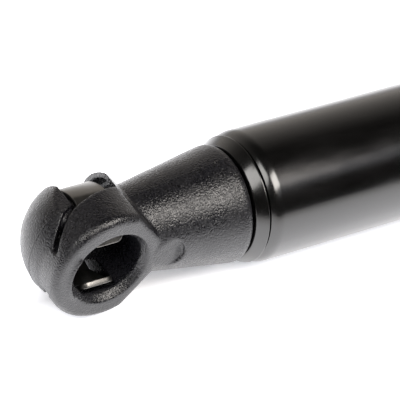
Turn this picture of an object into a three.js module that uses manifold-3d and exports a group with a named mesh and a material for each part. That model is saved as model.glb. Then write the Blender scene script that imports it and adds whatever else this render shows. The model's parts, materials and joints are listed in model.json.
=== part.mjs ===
// Gas strut stay, 8 mm rod in an 18.5 mm tube, shown fully extended. Millimetres, +Z up.
// X runs from the base socket's ball centre, the origin, to the rod socket's. Both mouths face -Y.
import * as THREE from 'three';
import { mergeVertices } from 'three/addons/utils/BufferGeometryUtils.js';
import Module from 'manifold-3d';

const wasm = await Module();
wasm.setup();

// Driving dimensions of the strut
const EXTENDED_LENGTH = 285;
const TUBE_R = 9.25;
const TUBE_WALL = 1.25;
const TUBE_BORE_R = TUBE_R - TUBE_WALL;
const ROD_R = 4;
const THREAD_R = 3.9;
const STUD_REACH = 10;
const GAP = 0.3;
const TUBE_ROUND = 48;
const ROUND = 40;
const SMALL_ROUND = 24;

// Stations along X, at full extension
const NECK_END = 21.3;
const PLUG_FACE = NECK_END + GAP;
const TUBE_START = 23.6;
const PLUG_END = 27;
const PACK_START = 130.2;
const ROD_SHOULDER = 141.2;
const BEAD = 143.4;
const TUBE_END = 162.1;
const LIP_FACE = TUBE_END - TUBE_WALL;
const LIP_R = 6.3;
const SEAT_R = TUBE_BORE_R - GAP;
const RUNNING_R = ROD_R + 0.2;

// Ball socket, about its own ball centre with the neck towards +X
const BALL_R = 5.1;
const FACE_Y = -6.06;
const FACE_R = 7.5;
const DRUM_R = 8.6;
const FACE_EDGE = 1.1;
const MOUTH_R = 5.87;
const CHAMFER_DEPTH = 1.05;
const DOME_R = 8.9;
const TONGUE_Z = 3.4;
const FLAT_Z = 7;
const HOOD_R = 9.15;
const CORE_R = 6.4;
const CHANNEL_LOW_X = -3.3;
const CHANNEL_HIGH_X = 3.6;
const FLANGE_CORNER = new THREE.Vector2(3.4, 7.9);
const FLANGE_ROOT = new THREE.Vector2(7.6, 2.9);
const NECK_ROOT_X = 1.5;
const NECK_ROOT_R = 5.3;
const NECK_END_R = 8.4;
const STUD_HOLE_R = THREAD_R + GAP;

// Safety clip, a flat strap bent to a U about X
const CLIP_R = 7.5;
const CLIP_THICKNESS = 0.8;
const CLIP_LOW_X = -2.95;
const CLIP_HIGH_X = 2.1;
const CLIP_LEG_OUTSIDE = [[-4.95, 3.6], [-3.3, 5.55]];
const CLIP_LEG_INSIDE = [[-4.35, 3.05], [-2.75, 4.95]];
const CLIP_LIFT = 2.5;

const finish = {
  paint: { color: 0x0c0c0e, roughness: 0.15, metalness: 0 },
  nylon: { color: 0x2b2b2e, roughness: 0.6, metalness: 0 },
  springSteel: { color: 0x6e6c68, roughness: 0.35, metalness: 1 },
  plainSteel: { color: 0x9a9a98, roughness: 0.4, metalness: 1 },
  groundSteel: { color: 0xc4c6c8, roughness: 0.15, metalness: 1 },
  bronze: { color: 0x9c7a4a, roughness: 0.45, metalness: 1 },
  sintered: { color: 0x6a6a6a, roughness: 0.6, metalness: 1 },
  ptfe: { color: 0x5a4636, roughness: 0.5, metalness: 0 },
  rubber: { color: 0x151515, roughness: 0.8, metalness: 0 },
  urethane: { color: 0x3a4a66, roughness: 0.5, metalness: 0 },
};

const strut = new THREE.Group();

function addPiece(name, geometry, look, parent = strut) {
  const mesh = new THREE.Mesh(geometry, new THREE.MeshStandardMaterial(finish[look]));
  mesh.name = name;
  parent.add(mesh);
}

// A turned piece about X. The profile lists [x, r] round a closed section, or from axis to axis.
function turned(profile, segments = ROUND) {
  const points = profile.map(([x, r]) => new THREE.Vector2(r, x));
  return new THREE.LatheGeometry(points, segments).rotateZ(-Math.PI / 2);
}

function ring(lowX, highX, innerR, outerR, segments = SMALL_ROUND) {
  return turned([[lowX, innerR], [lowX, outerR], [highX, outerR], [highX, innerR], [lowX, innerR]], segments);
}

function rod(lowX, highX, radius, segments = SMALL_ROUND) {
  return turned([[lowX, 0], [lowX, radius], [highX, radius], [highX, 0]], segments);
}

// The points of an arc about (cx, cr), from one angle to another, in degrees
function arc(cx, cr, radius, fromDegrees, toDegrees, steps) {
  return Array.from({ length: steps + 1 }, (_, i) => {
    const angle = THREE.MathUtils.degToRad(fromDegrees + (toDegrees - fromDegrees) * i / steps);
    return [cx + radius * Math.cos(angle), cr + radius * Math.sin(angle)];
  });
}

// Prisms of a closed outline. Outlines are [x, z], [x, y] and [y, z] in turn.
function prismAlongY(outline, lowY, highY, bevel = { bevelEnabled: false }) {
  const shape = new THREE.Shape(outline.map(([x, z]) => new THREE.Vector2(x, z)));
  const options = { depth: highY - lowY, ...bevel };
  return new THREE.ExtrudeGeometry(shape, options).rotateX(Math.PI / 2).translate(0, highY, 0);
}

function prismAlongZ(outline, lowZ, highZ) {
  const shape = new THREE.Shape(outline.map(([x, y]) => new THREE.Vector2(x, y)));
  return new THREE.ExtrudeGeometry(shape, { depth: highZ - lowZ, bevelEnabled: false }).translate(0, 0, lowZ);
}

function prismAlongX(outline, lowX, highX) {
  const shape = new THREE.Shape(outline.map(([y, z]) => new THREE.Vector2(y, z)));
  const options = { depth: highX - lowX, bevelEnabled: false };
  const turnYZtoX = new THREE.Matrix4().makeBasis(
    new THREE.Vector3(0, 1, 0), new THREE.Vector3(0, 0, 1), new THREE.Vector3(1, 0, 0));
  return new THREE.ExtrudeGeometry(shape, options).applyMatrix4(turnYZtoX).translate(lowX, 0, 0);
}

function aboutY(geometry) {
  return geometry.rotateZ(Math.PI / 2);
}

function box(lowX, highX, lowY, highY, lowZ, highZ) {
  const geometry = new THREE.BoxGeometry(highX - lowX, highY - lowY, highZ - lowZ);
  return geometry.translate((lowX + highX) / 2, (lowY + highY) / 2, (lowZ + highZ) / 2);
}

function solid(geometry) {
  const bare = geometry.clone();
  bare.deleteAttribute('normal');
  bare.deleteAttribute('uv');
  const merged = mergeVertices(bare, 1e-4);
  const mesh = new wasm.Mesh({
    numProp: 3,
    vertProperties: new Float32Array(merged.attributes.position.array),
    triVerts: new Uint32Array(merged.index.array),
  });
  return new wasm.Manifold(mesh);
}

function geometryOf(body) {
  const mesh = body.getMesh();
  const geometry = new THREE.BufferGeometry();
  geometry.setAttribute('position', new THREE.BufferAttribute(mesh.vertProperties, 3));
  geometry.setIndex(new THREE.BufferAttribute(mesh.triVerts, 1));
  geometry.computeVertexNormals();
  return geometry;
}

// The drum's outline seen along Y: round away from the neck, with two straight flanks down to it
function drumOutline(radius) {
  const corner = FLANGE_CORNER.clone().multiplyScalar(radius / DRUM_R);
  const start = THREE.MathUtils.radToDeg(corner.angle());
  const round = arc(0, 0, radius, start, 360 - start, 28);
  return [...round, [FLANGE_ROOT.x, -FLANGE_ROOT.y], [FLANGE_ROOT.x, FLANGE_ROOT.y]];
}

// The collar's back edge in plan: nearly straight under the strap, then down round the far side
function collarEdge(x) {
  const bend = Math.max(0, CHANNEL_LOW_X - x);
  return 0.2 * x + 0.05 - 0.12 * bend * bend - 0.05 * bend;
}

function collarPlan(offset, lowX, highX) {
  const steps = 10;
  return Array.from({ length: steps + 1 }, (_, i) => {
    const x = lowX + (highX - lowX) * i / steps;
    return [x, collarEdge(x) + offset];
  });
}

function socketFront() {
  const edge = { bevelEnabled: true, bevelThickness: FACE_EDGE, bevelSize: DRUM_R - FACE_R, bevelSegments: 2 };
  const drum = solid(prismAlongY(drumOutline(FACE_R), FACE_Y + FACE_EDGE, 2, edge));
  const plan = [...collarPlan(0, -DOME_R, DOME_R), [DOME_R, -DOME_R], [-DOME_R, -DOME_R]];
  const tongue = solid(box(-DOME_R, CHANNEL_LOW_X, FACE_Y, 0, -TONGUE_Z, TONGUE_Z));
  return drum.intersect(solid(prismAlongZ(plan, -DOME_R, DOME_R)).add(tongue));
}

function socketLobe() {
  const dome = solid(new THREE.SphereGeometry(DOME_R, 40, 20));
  const slit = 1;
  const plan = [...collarPlan(slit, -DOME_R, CHANNEL_LOW_X), [CHANNEL_LOW_X, DOME_R], [-DOME_R, DOME_R]];
  const upper = dome.intersect(solid(prismAlongZ(plan, -FLAT_Z, FLAT_Z)));
  const tongue = dome.intersect(solid(box(-DOME_R, CHANNEL_LOW_X, -CORE_R, DOME_R, -TONGUE_Z, TONGUE_Z)));
  return upper.add(tongue);
}

function socketHood() {
  const dome = solid(new THREE.SphereGeometry(HOOD_R, 40, 20));
  const behindChannel = solid(box(CHANNEL_HIGH_X, HOOD_R, 0.5, HOOD_R, -HOOD_R, HOOD_R));
  return dome.intersect(behindChannel).intersect(solid(prismAlongY(drumOutline(DRUM_R), 0, HOOD_R)));
}

function socketNeck() {
  const chamfer = 0.5;
  return solid(turned([
    [NECK_ROOT_X, 0], [NECK_ROOT_X, NECK_ROOT_R], [NECK_END - chamfer, NECK_END_R],
    [NECK_END, NECK_END_R - chamfer], [NECK_END, 0],
  ]));
}

function socketCore() {
  const round = solid(turned([[-5.5, 0], [-5.5, CORE_R - 1], [-4, CORE_R], [5, CORE_R], [5, 0]]));
  return round.intersect(solid(box(-DOME_R, DOME_R, -4, DOME_R, -DOME_R, DOME_R)));
}

// Ball seat: a straight bore from the mouth to the ball centre, and the ball's half beyond it
function ballSeat() {
  const bore = aboutY(turned([
    [FACE_Y - 1, 0], [FACE_Y - 1, MOUTH_R + CHAMFER_DEPTH * 0.7], [FACE_Y + CHAMFER_DEPTH, BALL_R],
    [0, BALL_R], [0, 0],
  ], SMALL_ROUND));
  return solid(bore).add(solid(new THREE.SphereGeometry(BALL_R, SMALL_ROUND, 16)));
}

// Room for one clip leg, at rest and lifted. It opens into the ball seat.
function legPocket(side) {
  const [[tipOutY, tipOutZ], [bendOutY, bendOutZ]] = CLIP_LEG_OUTSIDE;
  const [[tipInY, tipInZ], [bendInY, bendInZ]] = CLIP_LEG_INSIDE;
  const topZ = CLIP_R - 0.35;
  const outline = [
    [tipOutY - GAP, tipInZ - GAP], [tipOutY - GAP, tipOutZ + GAP], [bendOutY - GAP, bendOutZ + 0.4],
    [-GAP, topZ], [4.2, topZ], [4.2, CORE_R - 0.1], [bendInY + CLIP_LIFT + 0.4, bendInZ - 0.4],
    [tipInY + CLIP_LIFT + 0.4, tipInZ - GAP],
  ];
  const ordered = side > 0 ? outline.reverse() : outline.map(([y, z]) => [y, -z]);
  return solid(prismAlongX(ordered, CLIP_LOW_X - GAP, CLIP_HIGH_X + GAP));
}

function makeSocket() {
  const channel = solid(ring(CHANNEL_LOW_X, CHANNEL_HIGH_X, CORE_R, 12))
    .intersect(solid(prismAlongZ([...collarPlan(0, -6, 6), [6, 12], [-6, 12]], -12, 12)));
  const body = socketFront().add(socketLobe()).add(socketHood()).add(socketCore()).add(socketNeck());
  const holed = body
    .subtract(channel)
    .subtract(ballSeat())
    .subtract(legPocket(1))
    .subtract(legPocket(-1))
    .subtract(solid(rod(STUD_REACH - GAP - 0.5, NECK_END + 1, STUD_HOLE_R)));
  return geometryOf(holed);
}

// The clip's section in the YZ plane: round the back, then each leg in towards the ball
function clipSide(radius, leg) {
  const back = arc(0, 0, radius, 8, 172, 16).map(([z, y]) => [y, z]);
  const farLeg = leg.map(([y, z]) => [y, -z]).reverse();
  return [...leg, ...back, ...farLeg];
}

function makeClip() {
  const outside = clipSide(CLIP_R, CLIP_LEG_OUTSIDE);
  const inside = clipSide(CLIP_R - CLIP_THICKNESS, CLIP_LEG_INSIDE);
  return prismAlongX([...outside, ...inside.reverse()].reverse(), CLIP_LOW_X, CLIP_HIGH_X);
}

function addEndFitting(name, atX, facing) {
  const place = new THREE.Group();
  place.position.x = atX;
  place.rotation.y = facing;
  addPiece(`${name}_socket`, makeSocket(), 'nylon', place);
  addPiece(`${name}_clip`, makeClip(), 'springSteel', place);
  strut.add(place);
}

function makeTube() {
  const rolled = arc(TUBE_START + 0.75, TUBE_R - 1, 1, 140, 90, 4);
  const beadDepth = 0.6;
  const bead = (radius) => [
    [BEAD - 1.3, radius], [BEAD - 0.5, radius - beadDepth], [BEAD + 0.5, radius - beadDepth], [BEAD + 1.3, radius],
  ];
  const lip = arc(TUBE_END - 1.8, TUBE_R - 1.8, 1.8, 90, 0, 4);
  return turned([
    ...rolled, ...bead(TUBE_R), ...lip, [TUBE_END, LIP_R], [LIP_FACE, LIP_R], [LIP_FACE, TUBE_BORE_R],
    ...bead(TUBE_BORE_R).reverse(), [TUBE_START, TUBE_BORE_R], rolled[0],
  ], TUBE_ROUND);
}

function makePlug() {
  const rim = arc(PLUG_FACE + 1.3, TUBE_BORE_R - 0.4, 1.3, 180, 90, 4);
  return turned([
    [PLUG_FACE, STUD_HOLE_R], ...rim, [TUBE_START - GAP, TUBE_R - 0.35], [TUBE_START - GAP, SEAT_R],
    [PLUG_END, SEAT_R], [PLUG_END, STUD_HOLE_R], [PLUG_FACE, STUD_HOLE_R],
  ]);
}

function makeStud() {
  const headR = 5.8;
  const headStart = PLUG_END + GAP;
  const headEnd = headStart + 1.6;
  return turned([
    [STUD_REACH, 0], [STUD_REACH, THREAD_R - 0.6], [STUD_REACH + 0.6, THREAD_R], [headStart, THREAD_R],
    [headStart, headR], [headEnd, headR], [headEnd, 0],
  ], SMALL_ROUND);
}

function makeRod() {
  const spigotR = 2.9;
  const threadStart = EXTENDED_LENGTH - NECK_END - GAP;
  const threadEnd = EXTENDED_LENGTH - STUD_REACH;
  return turned([
    [PACK_START, 0], [PACK_START, spigotR], [ROD_SHOULDER, spigotR], [ROD_SHOULDER, ROD_R], [threadStart, ROD_R],
    [threadStart, THREAD_R], [threadEnd - 0.6, THREAD_R], [threadEnd, THREAD_R - 0.6], [threadEnd, 0],
  ]);
}

// A ring with a groove round its outside
function groovedRing(lowX, highX, innerR, outerR, grooveLow, grooveHigh, grooveR) {
  return turned([
    [lowX, innerR], [lowX, outerR], [grooveLow, outerR], [grooveLow, grooveR], [grooveHigh, grooveR],
    [grooveHigh, outerR], [highX, outerR], [highX, innerR], [lowX, innerR],
  ]);
}

// Ports through a piece along X, evenly spaced on a circle
function drilled(geometry, count, portR, circleR, lowX, highX) {
  let body = solid(geometry);
  for (let i = 0; i < count; i += 1) {
    const port = rod(lowX - 1, highX + 1, portR, 10).translate(0, circleR, 0).rotateX(2 * Math.PI * i / count);
    body = body.subtract(solid(port));
  }
  return geometryOf(body);
}

// The piston pack on the rod's spigot. Gas passes the piston's ports and the disc's small metering hole.
function addPistonPack() {
  const boreR = 3.2;
  const portCircleR = 4.55;
  const piston = groovedRing(134, 139.5, boreR, 7.5, 135.6, 138, 5.9);
  addPiece('piston_nut', ring(130.6, 132.6, boreR, 5), 'plainSteel');
  addPiece('orifice_disc', drilled(ring(132.9, 133.7, boreR, 6.9), 1, 0.45, 5.9, 132.9, 133.7), 'plainSteel');
  addPiece('piston', drilled(piston, 3, 0.8, portCircleR, 134, 139.5), 'sintered');
  addPiece('piston_ring', ring(135.9, 137.7, 6.2, 7.8, ROUND), 'ptfe');
  addPiece('front_washer', drilled(ring(139.8, 140.9, boreR, 7.2), 3, 0.8, portCircleR, 139.8, 140.9), 'plainSteel');
}

// A lip seal: a U-shaped section whose lips face the gas
function makeSeal(lowX, highX) {
  const middleR = (RUNNING_R + SEAT_R) / 2;
  const notch = 0.9;
  return turned([
    [lowX, RUNNING_R], [lowX + 1.9, middleR - 0.2], [lowX + 1.9, middleR + 0.2], [lowX, SEAT_R],
    [highX, SEAT_R], [highX, RUNNING_R + notch], [highX - notch, RUNNING_R], [lowX, RUNNING_R],
  ]);
}

function addGuidePack() {
  const ringCentre = 154;
  const ringR = 7.1;
  addPiece('stop_washer', ring(145, 146, ROD_R + 0.5, SEAT_R), 'plainSteel');
  addPiece('rod_seal', makeSeal(146.3, 149.3), 'rubber');
  addPiece('backing_ring', ring(149.6, 150.5, ROD_R + 0.4, SEAT_R), 'plainSteel');
  addPiece('rod_guide', groovedRing(150.8, 157.4, 5.3, SEAT_R, 152.9, 155.1, 6.2), 'nylon');
  addPiece('guide_bush', ring(151, 157.2, RUNNING_R, 5), 'bronze');
  addPiece('guide_o_ring', turned(arc(ringCentre, ringR, 0.6, 360, 0, 10), SMALL_ROUND), 'rubber');
  addPiece('wiper_ring', turned([
    [157.7, RUNNING_R + 0.8], [157.7, SEAT_R], [159.4, SEAT_R], [159.4, RUNNING_R], [158.6, RUNNING_R],
    [157.7, RUNNING_R + 0.8],
  ], SMALL_ROUND), 'urethane');
  addPiece('end_washer', ring(159.7, LIP_FACE - GAP, ROD_R + 0.6, SEAT_R), 'plainSteel');
}

addPiece('cylinder_tube', makeTube(), 'paint');
addPiece('end_plug', makePlug(), 'paint');
addPiece('base_stud', makeStud(), 'plainSteel');
addPiece('piston_rod', makeRod(), 'groundSteel');
addPistonPack();
addGuidePack();
addEndFitting('base', 0, 0);
addEndFitting('rod', EXTENDED_LENGTH, Math.PI);

export default strut;
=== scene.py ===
# %% [markdown]
# # A gas strut stay
#
# A gas strut pushes a flap open and holds it there. A closed steel tube holds gas under pressure, a ground
# rod slides in it, and each end carries a moulded fitting that goes over a ball stud. A spring-steel clip
# through the fitting keeps the ball in.
#
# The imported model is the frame: it fixes every size and place, and it stays as it is. Each piece here is
# modelled on a bench in millimetres, because small parts are easier to think of that way, and it is then
# brought to metres in its place on the frame.

# %% The fixed frame
import json
import math
import bmesh
import bpy
from mathutils import Matrix, Vector


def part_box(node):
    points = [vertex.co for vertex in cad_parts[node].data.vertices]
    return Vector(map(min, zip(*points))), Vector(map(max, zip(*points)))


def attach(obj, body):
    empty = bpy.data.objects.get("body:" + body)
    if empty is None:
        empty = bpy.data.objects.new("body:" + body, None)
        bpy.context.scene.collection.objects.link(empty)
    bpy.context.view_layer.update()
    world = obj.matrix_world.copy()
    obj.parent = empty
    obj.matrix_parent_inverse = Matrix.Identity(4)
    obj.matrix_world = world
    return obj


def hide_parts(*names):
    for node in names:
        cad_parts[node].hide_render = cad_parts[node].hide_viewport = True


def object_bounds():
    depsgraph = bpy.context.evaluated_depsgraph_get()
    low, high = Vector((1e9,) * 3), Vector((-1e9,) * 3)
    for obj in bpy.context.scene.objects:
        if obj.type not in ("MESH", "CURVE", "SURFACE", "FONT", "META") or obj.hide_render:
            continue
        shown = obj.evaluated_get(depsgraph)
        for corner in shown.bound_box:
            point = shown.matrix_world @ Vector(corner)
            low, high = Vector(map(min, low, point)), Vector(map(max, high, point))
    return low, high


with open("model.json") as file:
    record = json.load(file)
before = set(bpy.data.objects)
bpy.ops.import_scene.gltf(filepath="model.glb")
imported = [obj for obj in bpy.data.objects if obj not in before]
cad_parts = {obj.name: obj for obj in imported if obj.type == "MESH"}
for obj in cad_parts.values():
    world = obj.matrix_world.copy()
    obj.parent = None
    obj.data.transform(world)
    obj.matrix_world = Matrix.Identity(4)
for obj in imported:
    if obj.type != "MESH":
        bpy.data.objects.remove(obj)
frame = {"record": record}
CAD_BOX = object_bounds()
MM = 0.001

# %% [markdown]
# ## Where things are
#
# The strut lies along X. A round piece's box gives its two ends and its outer radius, so these are read from
# the frame. Only what a box can't tell, such as a bore or a chamfer, is written here as a number.


# %% Stations along the strut
def stations(node):
    """Both ends along X and the outer radius of a round frame piece, in bench millimetres."""
    low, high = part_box(node)
    return low.x / MM, high.x / MM, high.y / MM


TUBE_START, TUBE_END, TUBE_R = stations("cylinder_tube")
FLOOR_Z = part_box("cylinder_tube")[0].z
EXTENDED_LENGTH = (CAD_BOX[0].x + CAD_BOX[1].x) / MM
print("tube:", round(TUBE_START, 2), "to", round(TUBE_END, 2), "mm, radius", round(TUBE_R, 2))
print("ball to ball, extended:", round(EXTENDED_LENGTH, 2), "mm")

# %% [markdown]
# ## The camera
#
# A long lens from some distance keeps the strut's sides nearly parallel, as a product picture does. The place
# is given as a walk round the strut: so far from the aim, so far round from the front, so high, and tilted a
# little so that the strut climbs across the frame.

# %% Camera
AIM = Vector((15.15, -2.68, 4.59)) * MM
CAMERA_DISTANCE = 392 * MM
CAMERA_ROUND = math.radians(41.39)
CAMERA_HEIGHT = math.radians(40.03)
CAMERA_TILT = math.radians(13.74)
LENS = 265.6


def camera_axes(round_by, height, tilt):
    """The camera's right, up and back directions."""
    back = Vector((
        -math.sin(round_by) * math.cos(height), -math.cos(round_by) * math.cos(height), math.sin(height)))
    level = Vector((math.cos(round_by), -math.sin(round_by), 0))
    right = Matrix.Rotation(tilt, 3, back) @ level
    return right, back.cross(right), back


right, up, back = camera_axes(CAMERA_ROUND, CAMERA_HEIGHT, CAMERA_TILT)
bpy.ops.object.camera_add(location=AIM + back * CAMERA_DISTANCE)
camera = bpy.context.object
camera.rotation_euler = Matrix((right, up, back)).transposed().to_euler()
camera.data.lens = LENS
camera.data.clip_start = 0.01
bpy.context.scene.camera = camera
print("camera at", [round(v, 4) for v in camera.location])

# %% [markdown]
# ## Bench tools
#
# Most of these pieces were turned on a lathe, stamped or moulded, so three small tools make them: a line of
# edges drawn from point to point, that line spun round the strut's axis, and that line filled and pulled out
# to a prism. Drawing the line by extruding one vertex is the same move as Ctrl-clicking it by hand.


# %% Drawing a line of edges
def deselect():
    bpy.ops.object.select_all(action="DESELECT")


def pick(piece):
    """Make one object the only selected one, and active."""
    deselect()
    piece.select_set(True)
    bpy.context.view_layer.objects.active = piece
    return piece


def named(name):
    """Name the object that an operator has just added."""
    piece = bpy.context.object
    piece.name = piece.data.name = name
    return piece


def draw_line(name, points):
    """One vertex, extruded from point to point. It ends in edit mode with the last vertex selected."""
    deselect()
    bpy.ops.mesh.primitive_plane_add(size=1)
    piece = named(name)
    bpy.ops.object.mode_set(mode="EDIT")
    bpy.ops.mesh.select_mode(type="VERT")
    bpy.ops.mesh.merge(type="CENTER")
    points = [Vector(p) for p in points]
    bpy.ops.transform.translate(value=points[0])
    for here, there in zip(points, points[1:]):
        bpy.ops.mesh.extrude_region_move(TRANSFORM_OT_translate={"value": there - here})
    return piece


def close_up(piece, sharp=30):
    """Merge doubles, turn every face outwards, leave edit mode and shade smooth up to a sharp angle."""
    bpy.ops.mesh.select_all(action="SELECT")
    bpy.ops.mesh.remove_doubles(threshold=0.0005)
    bpy.ops.mesh.normals_make_consistent(inside=False)
    bpy.ops.object.mode_set(mode="OBJECT")
    pick(piece)
    bpy.ops.object.shade_smooth_by_angle(angle=math.radians(sharp))
    return piece


def prism(name, points, pull):
    """A closed outline of points, filled, and pulled out along a vector."""
    piece = draw_line(name, [*points, points[0]])
    bpy.ops.mesh.select_all(action="SELECT")
    bpy.ops.mesh.remove_doubles(threshold=0.0005)
    bpy.ops.mesh.edge_face_add()
    bpy.ops.mesh.extrude_region_move(TRANSFORM_OT_translate={"value": pull})
    return close_up(piece)


# %% [markdown]
# A machined or rolled corner is never sharp, and its little round is what catches the light. Each corner of a
# turned profile is (x, radius, ease): it is cut back by the ease along both sides and rounded between.

# %% Turning a profile
EASE_STEPS = 5


def eased(corners):
    """The points of a profile whose corners with an ease are rounded by a short curve."""
    points = []
    for i, corner in enumerate(corners):
        here = Vector(corner[:2])
        if len(corner) == 2:
            points.append(here)
            continue
        before = (Vector(corners[i - 1][:2]) - here).normalized() * corner[2]
        after = (Vector(corners[(i + 1) % len(corners)][:2]) - here).normalized() * corner[2]
        for step in range(EASE_STEPS + 1):
            t = step / EASE_STEPS
            points.append(here + before * (1 - t) ** 2 + after * t ** 2)
    return points


def turn(name, corners, closed=False, steps=96):
    """Spin a profile about the strut's axis. Closed, it makes a ring. Open, it starts and ends on it."""
    profile = eased(corners)
    if closed:
        profile.append(profile[0])
    piece = draw_line(name, [(p.x, p.y, 0) for p in profile])
    bpy.ops.mesh.select_all(action="SELECT")
    bpy.ops.mesh.spin(steps=steps, angle=2 * math.pi, center=(0, 0, 0), axis=(1, 0, 0))
    return close_up(piece)


def ring(name, node, bore, ease=0.15, steps=96):
    """A plain ring, in the place of a frame node, with eased edges."""
    low, high, outer = stations(node)
    corners = [(low, bore, ease), (low, outer, ease), (high, outer, ease), (high, bore, ease)]
    return turn(name, corners, closed=True, steps=steps)


# %% [markdown]
# Joining and cutting is done with the Boolean modifier, applied at once, so that each step's result is there
# to look at. The tool that cut is thrown away, as a drill is put back in its drawer.


# %% Joining, cutting and placing
def apply(piece, modifier):
    pick(piece)
    bpy.ops.object.modifier_apply(modifier=modifier.name)


def combine(piece, tool, operation):
    """UNION, DIFFERENCE or INTERSECT one solid with another, which is used up."""
    boolean = piece.modifiers.new(operation.lower(), "BOOLEAN")
    boolean.operation = operation
    boolean.solver = "MANIFOLD"
    boolean.object = tool
    apply(piece, boolean)
    bpy.data.objects.remove(tool)
    return piece


def select(piece, test, kind="VERT"):
    """In edit mode, select the vertices or faces that pass a test."""
    bpy.ops.mesh.select_mode(type=kind)
    bpy.ops.mesh.select_all(action="DESELECT")
    mesh = bmesh.from_edit_mesh(piece.data)
    for part in mesh.verts if kind == "VERT" else mesh.faces:
        if test(part):
            part.select_set(True)
    mesh.select_flush(True)
    bmesh.update_edit_mesh(piece.data)


def copy_of(piece, name):
    pick(piece)
    bpy.ops.object.duplicate()
    return named(name)


def settle(piece, at_x=0, turned=False):
    """Bring a bench piece to metres and to its place, and put that into its mesh."""
    pick(piece)
    piece.location = (at_x * MM, 0, 0)
    piece.rotation_euler = (0, math.pi if turned else 0, 0)
    piece.scale = (MM, MM, MM)
    bpy.ops.object.transform_apply(location=True, rotation=True, scale=True)
    print(piece.name, "has", len(piece.data.polygons), "faces")
    return piece


# %% [markdown]
# ## The end fitting
#
# The fitting is one injection moulding. Seen from the ball side it is a drum with a flat rim round the mouth,
# and two straight flanks run from the drum to a cone-shaped neck. Behind the drum sit a round back lobe and a
# hood, and between them is the channel that the clip lies in. A thin slot frees the lobe from the drum.
#
# It could be one subdivision cage, but the lobe, slot and channel meet at odd angles, and a cage would pull
# them soft. So it is built like the mould was: simple solids joined and cut, and then remeshed finely and
# smoothed, which gives every edge the small round that moulded nylon has.

# %% The fitting's sizes
BALL_R = 5.1
FACE_Y = {m["name"]: m["pos_m"][1] for m in frame["record"]["mounts"]}["base_face"] / MM
DRUM_R = 8.6
FACE_EDGE = 1.15
MOUTH_R = 5.87
CHAMFER_DEPTH = 1.05
LOBE_R = 8.9
TONGUE_Z = 3.4
FLAT_Z = 7
HOOD_R = 9.15
CORE_R = 6.4
CHANNEL = (-3.3, 3.6)
FLANK_START = (3.4, 7.9)
FLANK_END = (7.6, 2.9)
SLOT_WIDTH = 1
NECK_START = (1.5, 5.3)
NECK_END = (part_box("base_socket")[1].x / MM, 8.4)
NECK_ROUND = 1.3
HOOD_SHELL = 0.75
STUD_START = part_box("base_stud")[0].x / MM
STUD_HOLE_R = 4.2
FINE = 96
print("fitting: mouth plane at y", round(FACE_Y, 2), "and neck end at x", round(NECK_END[0], 2))


# %% The drum, with its flanks
def drum(radius, top, edge=0):
    """A disc about Y with its neck side drawn out to two flanks, and a round edge to its face."""
    deselect()
    bpy.ops.mesh.primitive_circle_add(vertices=144, radius=radius, rotation=(math.pi / 2, 0, 0))
    piece = named("drum")
    bpy.ops.object.transform_apply(rotation=True)
    bpy.ops.object.mode_set(mode="EDIT")
    select(piece, lambda v: v.co.x > FLANK_START[0])
    bpy.ops.mesh.delete(type="VERT")
    select(piece, lambda v: len(v.link_edges) == 1)
    reach = FLANK_END[0] - max(v.co.x for v in bmesh.from_edit_mesh(piece.data).verts)
    bpy.ops.mesh.extrude_region_move(TRANSFORM_OT_translate={"value": (reach, 0, 0)})
    middle = (FLANK_END[0], 0, 0)
    bpy.ops.transform.resize(value=(1, 1, FLANK_END[1] / FLANK_START[1]), center_override=middle)
    bpy.ops.mesh.edge_face_add()
    bpy.ops.mesh.select_all(action="SELECT")
    bpy.ops.mesh.edge_face_add()
    bpy.ops.transform.translate(value=(0, FACE_Y, 0))
    bpy.ops.mesh.extrude_region_move(TRANSFORM_OT_translate={"value": (0, top - FACE_Y, 0)})
    if edge:
        select(piece, lambda f: f.calc_center_median().y < FACE_Y + 0.01, "FACE")
        bpy.ops.mesh.bevel(offset=edge, segments=8, affect="EDGES")
    return close_up(piece)


# %% [markdown]
# The slot's line, in plan, is nearly straight beside the clip and then falls away round the far side. One
# formula gives it, and both sides of the slot are drawn from it.


# %% The collar's edge
def collar_y(x):
    """Height of the collar's back edge at x, towards the back of the fitting."""
    bend = max(0, CHANNEL[0] - x)
    return 0.2 * x + 0.05 - 0.12 * bend ** 2 - 0.05 * bend


def collar_line(low_x, high_x, z, offset=0, count=24):
    xs = [low_x + (high_x - low_x) * i / count for i in range(count + 1)]
    return [(x, collar_y(x) + offset, z) for x in xs]


def block(name, low, high):
    """A box between two corners, as an outline pulled along Z."""
    (x0, y0, z0), (x1, y1, z1) = low, high
    return prism(name, [(x0, y0, z0), (x1, y0, z0), (x1, y1, z0), (x0, y1, z0)], (0, 0, z1 - z0))


def ball(name, radius):
    deselect()
    bpy.ops.mesh.primitive_uv_sphere_add(segments=FINE, ring_count=FINE // 2, radius=radius)
    return named(name)


# %% The front, up to the collar's edge
WIDE = 12


def fitting_front():
    outline = [*collar_line(-WIDE, WIDE, -WIDE), (WIDE, -WIDE, -WIDE), (-WIDE, -WIDE, -WIDE)]
    below = prism("below_collar", outline, (0, 0, 2 * WIDE))
    tongue = block("tongue", (-WIDE, FACE_Y, -TONGUE_Z), (CHANNEL[0], 0, TONGUE_Z))
    return combine(drum(DRUM_R, 2, FACE_EDGE), combine(below, tongue, "UNION"), "INTERSECT")


front = fitting_front()
print("front:", len(front.data.polygons), "faces")


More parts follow.
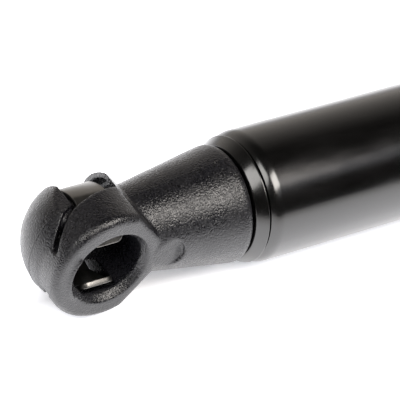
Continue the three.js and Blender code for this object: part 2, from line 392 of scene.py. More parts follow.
# %% The back lobe and the hood
def back_lobe():
    """A ball cut by the channel, a flat on each side, and the slot, which leaves a tongue in the middle."""
    edge = collar_line(-WIDE, CHANNEL[0], -FLAT_Z, SLOT_WIDTH)
    plan = [*edge, (CHANNEL[0], WIDE, -FLAT_Z), (-WIDE, WIDE, -FLAT_Z)]
    upper = combine(ball("lobe", LOBE_R), prism("lobe_plan", plan, (0, 0, 2 * FLAT_Z)), "INTERSECT")
    middle = block("tongue_plan", (-WIDE, -CORE_R, -TONGUE_Z), (CHANNEL[0], WIDE, TONGUE_Z))
    return combine(upper, combine(ball("tongue_ball", LOBE_R), middle, "INTERSECT"), "UNION")


def back_hood():
    """The visor between the channel and the neck, trimmed to the drum's flanks."""
    behind = block("behind_channel", (CHANNEL[1], 0.5, -WIDE), (WIDE, WIDE, WIDE))
    hood = combine(ball("hood", HOOD_R), behind, "INTERSECT")
    return combine(hood, drum(DRUM_R, WIDE), "INTERSECT")


body = combine(front, back_lobe(), "UNION")
body = combine(body, back_hood(), "UNION")
print("with lobe and hood:", len(body.data.polygons), "faces")

# %% [markdown]
# The core carries the ball seat and closes the bottom of the channel. The neck is a cone that widens towards
# the strut, so that its end covers the closed end's weld.

# %% The core and the neck
core = turn("core", [(-5.5, 0), (-5.5, CORE_R, 1.2), (5, CORE_R), (5, 0)], steps=FINE)
core = combine(core, block("core_plan", (-WIDE, -4, -WIDE), (WIDE, WIDE, WIDE)), "INTERSECT")
body = combine(body, core, "UNION")
neck_line = [(NECK_START[0], 0), NECK_START, (NECK_END[0], NECK_END[1], NECK_ROUND), (NECK_END[0], 0)]
neck = turn("neck", neck_line, steps=FINE)
body = combine(body, neck, "UNION")
print("with core and neck:", len(body.data.polygons), "faces")

# %% [markdown]
# Then the cuts. The clip's channel is a groove round X that stops at the collar's edge. The ball seat is a
# bore from the mouth to the ball's centre and the ball's half beyond it, with a wide chamfer that leads the
# ball in. Two pockets let the clip's legs reach the ball, and a hole takes the strut's threaded stud. Last, a
# hollow under the hood makes a thin visor of it.
#
# One pocket would leave a gap past the clip's edge that light comes through. A small rib closes it, on that
# side only. It is a guess: whether the real fitting has such a rib isn't known.


# %% Cutting the channel, the seat and the holes
def channel_tool():
    groove = [(CHANNEL[0], CORE_R), (CHANNEL[0], WIDE), (CHANNEL[1], WIDE), (CHANNEL[1], CORE_R)]
    above = [*collar_line(-WIDE, WIDE, -2 * WIDE), (WIDE, 2 * WIDE, -2 * WIDE), (-WIDE, 2 * WIDE, -2 * WIDE)]
    groove = turn("channel", groove, closed=True)
    return combine(groove, prism("above_collar", above, (0, 0, 4 * WIDE)), "INTERSECT")


def about_y(piece):
    """Turn a piece that was made about X so that its +X end points along +Y."""
    pick(piece)
    piece.rotation_euler = (0, 0, math.pi / 2)
    bpy.ops.object.transform_apply(rotation=True)
    return piece


def seat_tool():
    outside = FACE_Y - 1
    flare = MOUTH_R + (MOUTH_R - BALL_R) / CHAMFER_DEPTH
    bore = [(outside, 0), (outside, flare), (FACE_Y + CHAMFER_DEPTH, BALL_R), (0, BALL_R), (0, 0)]
    return combine(about_y(turn("seat", bore)), ball("seat_ball", BALL_R), "UNION")


CLIP_LOW_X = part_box("base_clip")[0].x / MM
CLIP_HIGH_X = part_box("base_clip")[1].x / MM
CLIP_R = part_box("base_clip")[1].y / MM
CLIP_THICKNESS = 0.8
# A leg's section as (y, z) points, outside and inside, from the bend to the tip
CLIP_BEND = ((-3.3, 5.55), (-2.75, 4.95))
CLIP_TIP = ((-4.95, 3.6), (-4.35, 3.05))
CLIP_LIFT = 2.5
PLAY = 0.3


def pocket_tool(side):
    """Room for one leg, at rest and when the clip is lifted to let the ball out."""
    tip_out, tip_in = CLIP_TIP
    bend_out, bend_in = CLIP_BEND
    outline = [
        (tip_out[0] - PLAY, tip_in[1] - PLAY), (tip_out[0] - PLAY, tip_out[1] + PLAY),
        (bend_out[0] - PLAY, bend_out[1] + 0.4), (-PLAY, CLIP_R - 0.35),
        (4.2, CLIP_R - 0.35), (4.2, CORE_R - 0.1),
        (bend_in[0] + CLIP_LIFT + 0.4, bend_in[1] - 0.4), (tip_in[0] + CLIP_LIFT + 0.4, tip_in[1] - PLAY),
    ]
    low, high = CLIP_LOW_X - PLAY, CLIP_HIGH_X + PLAY
    return prism("pocket", [(low, y, side * z) for y, z in outline], (high - low, 0, 0))


def hole_tool():
    start, end = STUD_START - 0.8, NECK_END[0] + 1
    return turn("hole", [(start, 0), (start, STUD_HOLE_R, 0.8), (end, STUD_HOLE_R), (end, 0)])


def hood_tool():
    """The hollow under the hood, which makes a thin visor of it."""
    mouth, end = CHANNEL[1] - 0.1, CHANNEL[1] + 1.6
    roof = [(x, math.sqrt(HOOD_R ** 2 - x ** 2) - HOOD_SHELL) for x in (mouth, end)]
    hollow = turn("hollow", [(mouth, CORE_R - 0.2), *roof, (end, CORE_R - 0.2)], closed=True)
    hollow = combine(hollow, block("hood_side", (-WIDE, 1.2, -WIDE), (WIDE, WIDE, WIDE)), "INTERSECT")
    return combine(hollow, drum(DRUM_R - 0.8, WIDE), "INTERSECT")


for tool in (channel_tool(), seat_tool(), pocket_tool(1), pocket_tool(-1), hole_tool(), hood_tool()):
    combine(body, tool, "DIFFERENCE")
# The rib runs from the pocket's end to just past the channel, between the clip's radius and the core's
guard = block("guard", (CLIP_HIGH_X + PLAY, -0.5, 0.3 - CLIP_R), (CHANNEL[1] + 0.1, 5, 0.2 - CORE_R))
body = combine(body, guard, "UNION")
print("cut:", len(body.data.polygons), "faces")

# %% [markdown]
# A moulding's mark: a shallow round spot, sunk level with the mouth's rim, on the neck's underside. It is cut
# here, before the remesh softens it.


# %% The round spot under the neck
def spot_tool():
    spot_x, spot_r = 8.7, 2.45
    spot = turn("spot", [(-WIDE, 0), (-WIDE, spot_r + 0.5), (FACE_Y - 0.04, spot_r, 0.3), (FACE_Y - 0.04, 0)])
    about_y(spot)
    spot.location.x = spot_x
    bpy.ops.object.transform_apply(location=True)
    return spot


combine(body, spot_tool(), "DIFFERENCE")

# %% [markdown]
# The voxel remesh skins the whole shape with even squares, and the smoothing that follows rounds each edge by
# about a fifth of a millimetre, as the moulding does.
#
# Where the mould's two halves met, a fine raised line is left. It lies in the plane of the neck's axis and
# the ball's centre. Three bisecting cuts put edges on that plane, and the middle ones are pushed out a bit.

# %% Remesh, smooth and the mould's parting line
VOXEL = 0.2
PARTING_WIDTH = 0.16
PARTING_HEIGHT = 0.06


def remesh(piece, voxel, rounds):
    pick(piece)
    piece.data.remesh_voxel_size = voxel
    bpy.ops.object.voxel_remesh()
    bpy.ops.object.mode_set(mode="EDIT")
    bpy.ops.mesh.select_all(action="SELECT")
    bpy.ops.mesh.vertices_smooth(factor=0.5, repeat=rounds)
    bpy.ops.object.mode_set(mode="OBJECT")


def is_outside(v):
    """Whether a vertex on the parting plane is on the fitting's outer skin, clear of the clip's channel."""
    if v.co.x > CHANNEL[1] + 0.5:
        return abs(v.co.z) > STUD_HOLE_R + 0.5 and v.co.x < NECK_END[0] - 0.6
    return v.co.x < CHANNEL[0] - 0.3 and v.co.length > CORE_R + 0.7


def parting_line(piece):
    pick(piece)
    bpy.ops.object.mode_set(mode="EDIT")
    for y in (-PARTING_WIDTH, 0, PARTING_WIDTH):
        bpy.ops.mesh.select_all(action="SELECT")
        bpy.ops.mesh.bisect(plane_co=(0, y, 0), plane_no=(0, 1, 0))
    select(piece, lambda v: abs(v.co.y) < 0.01 and is_outside(v))
    bpy.ops.transform.shrink_fatten(value=PARTING_HEIGHT)
    bpy.ops.object.mode_set(mode="OBJECT")


remesh(body, VOXEL, 3)
parting_line(body)
bpy.ops.object.shade_smooth()
print("fitting skin:", len(body.data.polygons), "faces")

# %% [markdown]
# Both ends carry the same moulding. The rod's is a copy of the base's, turned round and set at the far ball.

# %% Both fittings in place
body.name = body.data.name = "base_fitting"
rod_fitting = copy_of(body, "rod_fitting")
base_fitting = settle(body)
settle(rod_fitting, at_x=EXTENDED_LENGTH, turned=True)

# %% [markdown]
# ## The safety clip
#
# A strip of spring steel, bent to a U round the fitting's back. Its two legs reach through the pockets and
# grip the ball from below its middle. It is drawn as its bent edge, pulled out to the strip's width, rounded
# at the tips, and thickened.

# %% The clip
def middle_of(pair):
    """The middle of the strip's thickness, where a section's outside and inside points are given."""
    return Vector(pair[0]).lerp(Vector(pair[1]), 0.5)


def clip_path():
    """The strip's middle line in the YZ plane, from tip to tip, with an eased bend at each knee."""
    radius = CLIP_R - CLIP_THICKNESS / 2
    leg = eased([tuple(middle_of(CLIP_TIP)), (*middle_of(CLIP_BEND), 0.3), (0.9, radius * 0.993)])[:-1]
    first, steps = math.radians(7), 48
    sweep = [first + (math.pi - 2 * first) * i / steps for i in range(steps + 1)]
    back = [Vector((radius * math.sin(a), radius * math.cos(a))) for a in sweep]
    return [*leg, *back, *[Vector((p.x, -p.y)) for p in reversed(leg)]]


def make_clip(name):
    width = CLIP_HIGH_X - CLIP_LOW_X
    clip = draw_line(name, [(CLIP_LOW_X, p.x, p.y) for p in clip_path()])
    bpy.ops.mesh.select_all(action="SELECT")
    bpy.ops.mesh.extrude_region_move(TRANSFORM_OT_translate={"value": (width, 0, 0)})
    tip = middle_of(CLIP_TIP)
    select(clip, lambda v: v.co.y < tip.x + 0.01)
    bpy.ops.mesh.bevel(offset=1.2, segments=8, affect="VERTICES")
    close_up(clip)
    solidify = clip.modifiers.new("thickness", "SOLIDIFY")
    solidify.thickness = CLIP_THICKNESS
    solidify.offset = 0
    solidify.use_even_offset = True
    apply(clip, solidify)
    rounded = clip.modifiers.new("blanked edge", "BEVEL")
    rounded.width = 0.12
    rounded.segments = 3
    rounded.limit_method = "ANGLE"
    rounded.angle_limit = math.radians(60)
    apply(clip, rounded)
    bpy.ops.object.shade_smooth_by_angle(angle=math.radians(40))
    return clip


base_clip = make_clip("base_safety_clip")
rod_clip = copy_of(base_clip, "rod_safety_clip")
settle(base_clip)
settle(rod_clip, at_x=EXTENDED_LENGTH, turned=True)

# %% [markdown]
# ## The tube and its closed end
#
# The cylinder is drawn steel tube. At the closed end its rim is rolled in over a steel plug, which leaves a
# round shoulder and a fine crease beside the plug's own rounded rim. A groove rolled into the other end holds
# the guide, and the open rim is rolled over it last. A turned profile tells all of that in one line.

# %% Tube
TUBE_WALL = 1.25
BORE_R = TUBE_R - TUBE_WALL
BEAD_X = 143.4
BEAD_DEPTH = 0.6
LIP_R = 6.3


def bead(radius, steps=12, half_width=1.3):
    """The rolled groove, a smooth dip in a wall of the given radius."""
    turns = [2 * math.pi * i / steps for i in range(steps + 1)]
    return [
        (BEAD_X + half_width * (a / math.pi - 1), radius - BEAD_DEPTH * (1 - math.cos(a)) / 2) for a in turns
    ]


def make_tube():
    lip_face = TUBE_END - TUBE_WALL
    shoulder = [(TUBE_START, BORE_R), (TUBE_START, TUBE_R - 0.75, 0.1), (TUBE_START + 0.8, TUBE_R, 1.0)]
    lip = [(TUBE_END, TUBE_R, 1.8), (TUBE_END, LIP_R, 0.3), (lip_face, LIP_R, 0.3), (lip_face, BORE_R)]
    outside = [*shoulder, *bead(TUBE_R)]
    return turn("tube", [*outside, *lip, *reversed(bead(BORE_R))], closed=True, steps=192)


tube = settle(make_tube())


# %% The plug that closes it
def make_plug():
    face, end, _ = stations("end_plug")
    crease = TUBE_START - 0.3
    seat_r = BORE_R - 0.3
    crest_r = TUBE_R - 0.3
    cone = [(face, crest_r - 1.1, 0.2), (crease - 0.15, crest_r, 0.2), (crease, crest_r - 0.3, 0.1)]
    rim = [(face, STUD_HOLE_R, 0.3), *cone, (crease, seat_r)]
    inner_end = [(end, seat_r, 0.4), (end, STUD_HOLE_R, 0.3)]
    return turn("closed_end_plug", rim + inner_end, closed=True, steps=192)


plug = settle(make_plug())

# %% [markdown]
# ## Threads
#
# Both fittings screw on M8 threads. A thread is a groove that climbs one pitch each turn, so a plain turned
# shank with many rings is made first, and then each vertex sinks by how far round and along it lies.

# %% The rolled thread
PITCH = 1.25
THREAD_DEPTH = 0.62


def threaded(low_x, high_x, radius):
    """Profile points close enough together to take a thread."""
    count = round((high_x - low_x) / PITCH * 10)
    return [(low_x + (high_x - low_x) * i / count, radius) for i in range(count + 1)]


def roll_thread(piece, low_x, high_x, radius):
    """Sink the shank's skin in a helix, fading out at both ends."""
    for v in piece.data.vertices:
        if low_x <= v.co.x <= high_x and math.hypot(v.co.y, v.co.z) > radius - 0.05:
            climb = (v.co.x / PITCH + math.atan2(v.co.z, v.co.y) / (2 * math.pi)) % 1
            groove = max(0, 1 - abs(climb - 0.5) * 2.3)
            fade = min(1, (v.co.x - low_x) / PITCH, (high_x - v.co.x) / PITCH)
            shrink = 1 - THREAD_DEPTH * groove * fade / radius
            v.co.y *= shrink
            v.co.z *= shrink


def make_stud():
    start, end, head_r = stations("base_stud")
    thread_r, head_start, last_thread = 3.9, end - 1.6, NECK_END[0] - 0.6
    shank = [(start, 0), (start, thread_r - 0.7), *threaded(start + 0.7, last_thread, thread_r)]
    head = [(head_start, thread_r), (head_start, head_r, 0.3), (end, head_r, 0.3), (end, 0)]
    stud = turn("closed_end_stud", shank + head)
    roll_thread(stud, start + 0.7, last_thread, thread_r)
    return settle(stud)


stud = make_stud()

# %% [markdown]
# ## The rod and its piston
#
# The rod is ground, hard chromed and polished. Its inner end is turned down to a spigot that carries the
# piston pack, and its outer end carries the thread for the rod's fitting.


# %% The rod
def make_rod():
    start, end, rod_r = stations("piston_rod")
    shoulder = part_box("front_washer")[1].x / MM + 0.3
    thread_r, spigot_r = 3.9, 2.9
    thread_start = EXTENDED_LENGTH - NECK_END[0] - 0.3
    first_thread = thread_start + 0.6
    inner = [(start, 0), (start, spigot_r, 0.4), (shoulder, spigot_r), (shoulder, rod_r, 0.3)]
    thread = threaded(first_thread, end - 0.7, thread_r)
    outer = [(thread_start, rod_r, 0.15), *thread, (end, thread_r - 0.7), (end, 0)]
    rod = turn("chromed_rod", inner + outer)
    roll_thread(rod, first_thread, end - 0.7, thread_r)
    return settle(rod)


rod = make_rod()


# %% The piston pack
def port(piece, count, port_r, circle_r):
    """Drill evenly spaced ports through a piece, along X."""
    low = min(v.co.x for v in piece.data.vertices) - 1
    high = max(v.co.x for v in piece.data.vertices) + 1
    for i in range(count):
        angle = 2 * math.pi * i / count
        drill = turn("drill", [(low, 0), (low, port_r), (high, port_r), (high, 0)], steps=24)
        drill.location = (0, circle_r * math.cos(angle), circle_r * math.sin(angle))
        combine(piece, drill, "DIFFERENCE")
    return piece


def grooved(name, node, bore, groove_low, groove_high, groove_r, ease=0.2):
    """A ring with a square groove round its outside."""
    low, high, outer = stations(node)
    corners = [
        (low, bore, ease), (low, outer, ease), (groove_low, outer, ease), (groove_low, groove_r),
        (groove_high, groove_r), (groove_high, outer, ease), (high, outer, ease), (high, bore, ease),
    ]
    return turn(name, corners, closed=True)


PACK_BORE = 3.2
PORT_CIRCLE_R = 4.55
collar = settle(ring("piston_collar", "piston_nut", PACK_BORE, 0.3))
disc = settle(port(ring("metering_disc", "orifice_disc", PACK_BORE, 0.1), 1, 0.45, 5.9))
piston = settle(port(grooved("piston_body", "piston", PACK_BORE, 135.6, 138, 5.9), 3, 0.8, PORT_CIRCLE_R))
sliding_ring = settle(ring("piston_sliding_ring", "piston_ring", 6.2, 0.25))
washer = settle(port(ring("piston_washer", "front_washer", PACK_BORE, 0.12), 3, 0.8, PORT_CIRCLE_R))

# %% [markdown]
# ## The guide and its seals
#
# From the gas outwards: a washer on the rolled groove, a lip seal, a ring that backs it, the guide with its
# bronze bush and rubber ring, a wiper that keeps dirt out, and a washer under the rolled rim.


# %% The guide pack
def make_seal():
    """A lip seal with a U-shaped section. Gas pressure opens its lips against the rod and the tube."""
    low, high, outer = stations("rod_seal")
    inner, root, notch = 4.2, low + 1.9, 0.9
    middle = (inner + outer) / 2
    lips = [(low, inner, 0.1), (root, middle - 0.2, 0.1), (root, middle + 0.2, 0.1), (low, outer, 0.1)]
    heel = [(high, outer, 0.2), (high, inner + notch, 0.2), (high - notch, inner, 0.3)]
    return turn("lip_seal", lips + heel, closed=True)


def make_wiper():
    low, high, outer = stations("wiper_ring")
    inner, lip = 4.2, 0.8
    body_side = [(low, inner + lip, 0.15), (low, outer, 0.2), (high, outer, 0.2)]
    lip_side = [(high, inner, 0.1), (high - lip, inner, 0.1)]
    return turn("dirt_wiper", body_side + lip_side, closed=True)


def make_o_ring():
    low, high, outer = stations("guide_o_ring")
    cord_r = (high - low) / 2
    angles = [2 * math.pi * i / 24 for i in range(24)]
    middle_x, middle_r = (low + high) / 2, outer - cord_r
    section = [(middle_x + cord_r * math.cos(a), middle_r + cord_r * math.sin(a)) for a in angles]
    return turn("guide_oring", section, closed=True)


ROD_CLEAR = 4.4
bead_washer = settle(ring("bead_washer", "stop_washer", ROD_CLEAR + 0.1))
seal = settle(make_seal())
backing = settle(ring("seal_backing_ring", "backing_ring", ROD_CLEAR))
guide = settle(grooved("guide_body", "rod_guide", 5.3, 152.9, 155.1, 6.2, 0.3))
bush = settle(ring("guide_bearing_bush", "guide_bush", 4.2, 0.2))
o_ring = settle(make_o_ring())
wiper = settle(make_wiper())
end_washer = settle(ring("rim_washer", "end_washer", 4.6, 0.2))

# %% [markdown]
# ## Materials
#
# A colour picked on screen is an sRGB hex value, and the shader wants linear light, so one function turns it.
# Another adds a node with its settings and links, and reads as a line of a recipe. Patterns are solid: they
# read Object coordinates, in metres, so a pattern's scale is one over its real size.


# %% Colour, size and node
def linear(hex_code):
    parts = [int(hex_code[i:i + 2], 16) / 255 for i in (1, 3, 5)]
    return [*(p / 12.92 if p <= 0.04045 else ((p + 0.055) / 1.055) ** 2.4 for p in parts), 1]


def per(size_mm):
    """The scale that gives a pattern with features of this size."""
    return 1 / (size_mm * MM)


def add(tree, kind, links=None, **settings):
    """Add a node. Links maps an input's name to a value or to another node's output."""
    node = tree.nodes.new(kind)
    for key, value in settings.items():
        setattr(node, key, value)
    for name, source in (links or {}).items():
        if isinstance(source, bpy.types.NodeSocket):
            tree.links.new(source, node.inputs[name])
        else:
            node.inputs[name].default_value = source
    return node


def start_material(name, **sockets):
    """A new material whose shader has the given values. Returns its tree, shader and Object coordinates."""
    material = bpy.data.materials.new(name)
    material.use_nodes = True
    tree = material.node_tree
    shader = tree.nodes["Principled BSDF"]
    for socket, value in sockets.items():
        shader.inputs[socket.replace("_", " ")].default_value = value
    return material, tree, shader, add(tree, "ShaderNodeTexCoord").outputs["Object"]


def stretch(tree, coords, x_mm, y_mm, z_mm):
    """Coordinates scaled so that one unit of a pattern is this many millimetres each way."""
    scale = (per(x_mm), per(y_mm), per(z_mm))
    return add(tree, "ShaderNodeMapping", {"Vector": coords, "Scale": scale}).outputs["Vector"]


def noise(tree, coords, scale, detail=2, roughness=0.5):
    links = {"Vector": coords, "Scale": scale, "Detail": detail, "Roughness": roughness}
    return add(tree, "ShaderNodeTexNoise", links).outputs["Fac"]


def spread(tree, value, low, high, from_low=0.3, from_high=0.7):
    """Map a pattern's usual range to the range wanted."""
    links = {"Value": value, "From Min": from_low, "From Max": from_high, "To Min": low, "To Max": high}
    return add(tree, "ShaderNodeMapRange", links).outputs["Result"]


def mix_colour(tree, value, dark, light):
    """A colour between two, by a pattern."""
    mix = add(tree, "ShaderNodeMix", data_type="RGBA")
    tree.links.new(value, mix.inputs["Factor"])
    mix.inputs[6].default_value = linear(dark)
    mix.inputs[7].default_value = linear(light)
    return mix.outputs[2]


def bump(tree, height, depth_mm, strength=1.0, under=None):
    """Small relief of this depth, on top of another relief if there is one."""
    links = {"Height": height, "Distance": depth_mm * MM, "Strength": strength}
    if under is not None:
        links["Normal"] = under
    return add(tree, "ShaderNodeBump", links).outputs["Normal"]


def wire(tree, shader, **sources):
    for socket, source in sources.items():
        tree.links.new(source, shader.inputs[socket.replace("_", " ")])


# %% [markdown]
# **Black glass-filled nylon, moulded in a spark-eroded tool.** The tool's pitted skin gives a fine even grain
# that breaks each highlight into glints, and the glass near the surface makes the gloss a little uneven. Real
# pits may well be finer: they are drawn at 0.25 mm, as coarse as they need to be to show from a distance.

# %% Moulded nylon
def moulded_nylon(name, dark, light, grain_mm, pit_depth_mm):
    material, tree, shader, coords = start_material(name, IOR=1.6)
    pits = noise(tree, coords, per(grain_mm), 1, 0.6)
    clouds = noise(tree, coords, per(3), 3, 0.6)
    haze = spread(tree, clouds, 0, 0.3)
    shine = add(tree, "ShaderNodeMath", {0: pits, 1: 0.7, 2: haze}, operation="MULTIPLY_ADD")
    colour = mix_colour(tree, spread(tree, pits, 0, 1), dark, light)
    gloss = spread(tree, shine.outputs[0], 0.2, 0.42)
    relief = bump(tree, pits, pit_depth_mm)
    wire(tree, shader, Base_Color=colour, Roughness=gloss, Normal=relief)
    return material


socket_nylon = moulded_nylon("moulded_glass_filled_nylon", "#060608", "#1a1a20", 0.25, 0.095)
guide_nylon = moulded_nylon("moulded_guide_nylon", "#323234", "#3c3c3e", 0.3, 0.03)

# %% [markdown]
# **Black stoved enamel on drawn steel.** A gloss paint, sprayed and baked. Its skin has a slow ripple, called
# orange peel, and under it the drawing lines of the tube still show faintly along its length. Handling leaves
# a few hairline scratches. The pigment is almost black, so nearly all that the eye gets is reflection.

# %% Enamel
def enamel():
    material, tree, shader, coords = start_material("stoved_black_enamel", IOR=1.8)
    peel = noise(tree, coords, per(1.8), 2, 0.4)
    drawn = noise(tree, stretch(tree, coords, 30, 0.5, 0.5), 1, 2, 0.5)
    smears = noise(tree, stretch(tree, coords, 9, 3, 3), 1, 3, 0.6)
    colour = mix_colour(tree, spread(tree, smears, 0, 1), "#030303", "#070707")
    gloss = spread(tree, smears, 0.16, 0.24)
    rubs = noise(tree, stretch(tree, coords, 5, 0.15, 2), 1, 3, 0.7)
    hairlines = bump(tree, spread(tree, rubs, 0, 1, 0.62, 0.68), 0.0015)
    relief = bump(tree, drawn, 0.002, 1, bump(tree, peel, 0.004, 1, hairlines))
    wire(tree, shader, Base_Color=colour, Roughness=gloss, Normal=relief)
    return material


black_enamel = enamel()

# %% [markdown]
# **Tempered spring steel.** Cold-rolled strip, hardened and tempered, so it is grey-brown rather than white,
# and satin along the rolling direction. A metal's colour is its reflection, so metallic is 1 and the IOR is
# left.

# %% Metals
def metal(name, dark, light, rough_low, rough_high, line_mm, depth_mm):
    """A worked metal: lines of the given size each way, and patches of slightly different gloss."""
    material, tree, shader, coords = start_material(name, Metallic=1)
    lines = noise(tree, stretch(tree, coords, *line_mm), 1, 3, 0.6)
    patches = noise(tree, coords, per(2.5), 3, 0.6)
    colour = mix_colour(tree, spread(tree, patches, 0, 1), dark, light)
    gloss = spread(tree, patches, rough_low, rough_high)
    wire(tree, shader, Base_Color=colour, Roughness=gloss, Normal=bump(tree, lines, depth_mm))
    return material


spring_steel = metal("tempered_spring_steel", "#6d6c6a", "#7d7b77", 0.3, 0.4, (0.12, 4, 4), 0.002)

# %% [markdown]
# **Ground and hard-chromed rod.** Centreless grinding leaves lines round the rod, and the polished chrome
# over them is the brightest thing on the strut. **Turned steel** of washers and studs has the tool's rings
# and a duller face. **Sintered bronze and steel** are pressed from powder, so they are pitted with pores and
# scatter the light.

# %% The other metals
rod_chrome = metal("ground_hard_chrome", "#c6c9cc", "#d2d5d8", 0.08, 0.14, (0.15, 6, 6), 0.0008)
turned_steel = metal("turned_steel", "#a3a5a6", "#b4b6b6", 0.28, 0.4, (0.2, 5, 5), 0.003)


def sintered(name, dark, light):
    material, tree, shader, coords = start_material(name, Metallic=1)
    pores = add(tree, "ShaderNodeTexVoronoi", {"Vector": coords, "Scale": per(0.25)}).outputs["Distance"]
    patches = noise(tree, coords, per(1.2), 3, 0.6)
    colour = mix_colour(tree, spread(tree, patches, 0, 1), dark, light)
    gloss = spread(tree, pores, 0.62, 0.42, 0.1, 0.6)
    wire(tree, shader, Base_Color=colour, Roughness=gloss, Normal=bump(tree, pores, 0.02))
    return material


sintered_bronze = sintered("sintered_bronze", "#9a7240", "#b1894f")
sintered_steel = sintered("sintered_steel", "#6d6e70", "#828384")

# %% [markdown]
# **The soft rings.** Filled PTFE is waxy and brown from its bronze powder. Nitrile rubber is black and dull,
# with the mould's fine texture, and urethane is a smoother blue-grey with a faint sheen.

# %% Plastics and rubbers of the seals
def soft_ring(name, dark, light, rough_low, rough_high, grain_mm, depth_mm, ior):
    material, tree, shader, coords = start_material(name, IOR=ior)
    grain = noise(tree, coords, per(grain_mm), 3, 0.6)
    patches = noise(tree, coords, per(1.5), 2, 0.5)
    colour = mix_colour(tree, spread(tree, grain, 0, 1), dark, light)
    gloss = spread(tree, patches, rough_low, rough_high)
    wire(tree, shader, Base_Color=colour, Roughness=gloss, Normal=bump(tree, grain, depth_mm))
    return material


filled_ptfe = soft_ring("bronze_filled_ptfe", "#4c3a2c", "#6a5340", 0.35, 0.45, 0.12, 0.002, 1.38)
nitrile_rubber = soft_ring("moulded_nitrile_rubber", "#121212", "#1c1c1c", 0.55, 0.7, 0.2, 0.006, 1.52)
urethane = soft_ring("moulded_urethane", "#374660", "#42526f", 0.3, 0.42, 0.5, 0.003, 1.5)

# %% [markdown]
# ## Fitting out the frame
#
# Each row gives a finished piece, its material, the record's slot for it, the body it rides on and the frame
# node it stands for. The loop gives each piece its material, sets it on its body and hides the frame node;
# the slot column is not used.

# %% Materials, bodies and nodes
FIT_OUT = [
    (tube, black_enamel, "black_paint", "cylinder", "cylinder_tube"),
    (plug, black_enamel, "black_paint", "cylinder", "end_plug"),
    (stud, turned_steel, "plain_steel", "cylinder", "base_stud"),
    (base_fitting, socket_nylon, "socket_nylon", "cylinder", "base_socket"),
    (base_clip, spring_steel, "spring_steel", "base_strap", "base_clip"),
    (bead_washer, turned_steel, "plain_steel", "cylinder", "stop_washer"),
    (seal, nitrile_rubber, "rubber", "cylinder", "rod_seal"),
    (backing, turned_steel, "plain_steel", "cylinder", "backing_ring"),
    (guide, guide_nylon, "guide_nylon", "cylinder", "rod_guide"),
    (bush, sintered_bronze, "bronze", "cylinder", "guide_bush"),
    (o_ring, nitrile_rubber, "rubber", "cylinder", "guide_o_ring"),
    (wiper, urethane, "urethane", "cylinder", "wiper_ring"),
    (end_washer, turned_steel, "plain_steel", "cylinder", "end_washer"),
    (sliding_ring, filled_ptfe, "filled_ptfe", "sliding_ring", "piston_ring"),
    (rod, rod_chrome, "rod_chrome", "rod", "piston_rod"),
    (washer, turned_steel, "plain_steel", "rod", "front_washer"),
    (piston, sintered_steel, "sintered_steel", "rod", "piston"),
    (disc, turned_steel, "plain_steel", "rod", "orifice_disc"),
    (collar, turned_steel, "plain_steel", "rod", "piston_nut"),
    (rod_fitting, socket_nylon, "socket_nylon", "rod", "rod_socket"),
    (rod_clip, spring_steel, "spring_steel", "rod_strap", "rod_clip"),
]
for piece, material, slot, body_name, node in FIT_OUT:
    piece.data.materials.clear()
    piece.data.materials.append(material)
    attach(piece, body_name)
    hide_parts(node)
print("fitted out:", len(FIT_OUT), "pieces")

# %% [markdown]
# ## The studio
#
# A black gloss piece is a mirror, so the lights are placed for what they show in it. The table is a sheet of
# lit acrylic that glows. Along the line that the strut lies on, up to just past its end, the glow is painted
# dimmer: a painted shadow under the strut. A key box high in front gives the highlights on the shoulder and
# the neck, a side box does the same for the drum and the clip, and a weak fill reaches the front. Behind, the
# room glows a little above the horizon. Everywhere else it is nearly black, which keeps the enamel black.

# %% Table and room
TABLE_GLOW = 1.3
# The lower glow right along the strut's line is a painted shadow under the strut.
PAINTED_SHADOW_GLOW = 0.4
GLOW_COLOUR = (0.94, 0.95, 1, 1)
deselect()
bpy.ops.mesh.primitive_plane_add(size=4, location=(0, 0, FLOOR_Z))
table = named("table")
material, tree, shader, coords = start_material("lit_acrylic_with_painted_shadow", Roughness=0.7, Emission_Color=GLOW_COLOUR)
haze = noise(tree, coords, per(60), 2, 0.5)
axes = add(tree, "ShaderNodeSeparateXYZ", {"Vector": coords}).outputs
# Painted shadow: the glow is dimmer near the strut's line, rises to full about 12 mm out, and fades out just
# past the strut's end.
away = add(tree, "ShaderNodeMath", {0: axes["Y"]}, operation="ABSOLUTE").outputs[0]
past_end = spread(tree, axes["X"], 0.07, 0, -0.07, -0.002)
painted_shadow_distance = add(tree, "ShaderNodeMath", {0: away, 1: past_end}, operation="ADD").outputs[0]
outside_painted_shadow = spread(tree, painted_shadow_distance, 0, 1, 0.002, 0.012)
fall = spread(tree, painted_shadow_distance, TABLE_GLOW, 0, 0.02, 0.14)
glow_with_painted_shadow = add(tree, "ShaderNodeMath", {0: outside_painted_shadow, 1: fall, 2: PAINTED_SHADOW_GLOW}, operation="MULTIPLY_ADD").outputs[0]
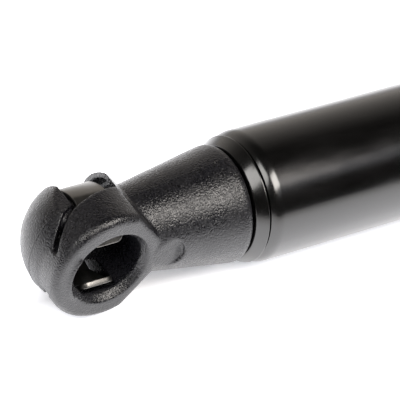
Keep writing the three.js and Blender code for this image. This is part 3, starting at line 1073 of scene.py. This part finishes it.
wire(tree, shader, Base_Color=mix_colour(tree, haze, "#f2f2f2", "#f5f5f5"), Emission_Strength=glow_with_painted_shadow)
table.data.materials.append(material)

ROOM_COLOUR = (1, 0.93, 0.86, 1)
ROOM_LIGHT = 0.025
HORIZON_GLOW = 1.0
FAR_SIDE = (0.5, 0.87, 0)
world = bpy.data.worlds.new("dark_room")
world.use_nodes = True
room = world.node_tree
ways = add(room, "ShaderNodeTexCoord").outputs["Generated"]
axes = add(room, "ShaderNodeSeparateXYZ", {"Vector": ways}).outputs
low = spread(room, axes["Z"], HORIZON_GLOW, 0, 0, 0.82)
back_way = add(room, "ShaderNodeVectorMath", {0: ways, 1: FAR_SIDE}, operation="DOT_PRODUCT")
behind = spread(room, back_way.outputs["Value"], 0, 1, 0, 0.7)
glow = add(room, "ShaderNodeMath", {0: low, 1: behind, 2: ROOM_LIGHT}, operation="MULTIPLY_ADD").outputs[0]
room.nodes["Background"].inputs["Color"].default_value = ROOM_COLOUR
wire(room, room.nodes["Background"], Strength=glow)
bpy.context.scene.world = world
bpy.context.scene.view_settings.view_transform = "Standard"


# %% Soft boxes
def soft_box(name, place, size, radiance, colour=(1, 1, 1), aim=AIM, spread_deg=180):
    """A rectangular light that faces its aim. Its power is worked out from how bright its face is to be."""
    bpy.ops.object.light_add(type="AREA", location=place)
    box = named(name)
    box.rotation_euler = (Vector(aim) - Vector(place)).to_track_quat("-Z", "Y").to_euler()
    box.data.shape = "RECTANGLE"
    box.data.size, box.data.size_y = size
    box.data.energy = radiance * math.pi * size[0] * size[1]
    box.data.color = colour
    box.data.spread = math.radians(spread_deg)
    box.visible_camera = False
    return box


soft_box("key", AIM + Vector((0.07, -0.325, 0.5)), (0.4, 0.26), 10, (1, 0.95, 0.9))
soft_box("side", AIM + Vector((-0.5, -0.12, 0.58)), (0.4, 0.36), 5, (1, 0.98, 0.95))
soft_box("front_fill", AIM + Vector((0.38, -0.44, 0.48)), (0.8, 0.18), 0.4, (0.88, 0.92, 1))
